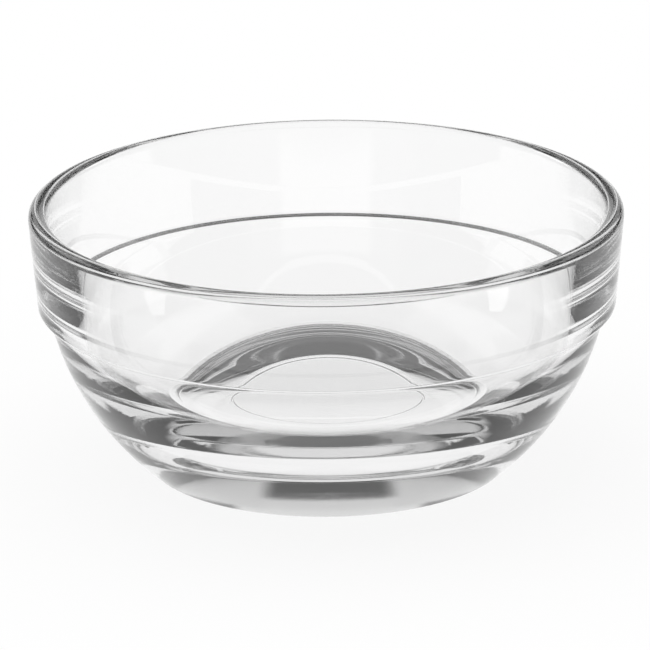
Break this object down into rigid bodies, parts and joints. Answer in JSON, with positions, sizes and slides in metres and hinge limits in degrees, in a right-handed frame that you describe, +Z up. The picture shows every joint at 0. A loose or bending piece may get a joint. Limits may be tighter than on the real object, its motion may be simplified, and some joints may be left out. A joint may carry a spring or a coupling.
{
  "type": "prep bowl",
  "caption": "Round stackable prep bowl of clear pressed glass: rounded body on a foot ring, with a stacking ledge, a slightly flared collar and a rounded rim.",
  "frame": {"origin": "middle of the foot ring, on the surface that the bowl stands on", "axes": "+Z up along the bowl's axis to the open rim; the bowl is round, and -Y faces the camera"},
  "size_m": [0.105, 0.105, 0.047],
  "materials": {
    "glass": "clear, glossy"
  },
  "bodies": {
    "root": {"bowl": "glass"}
  },
  "joints": []
}
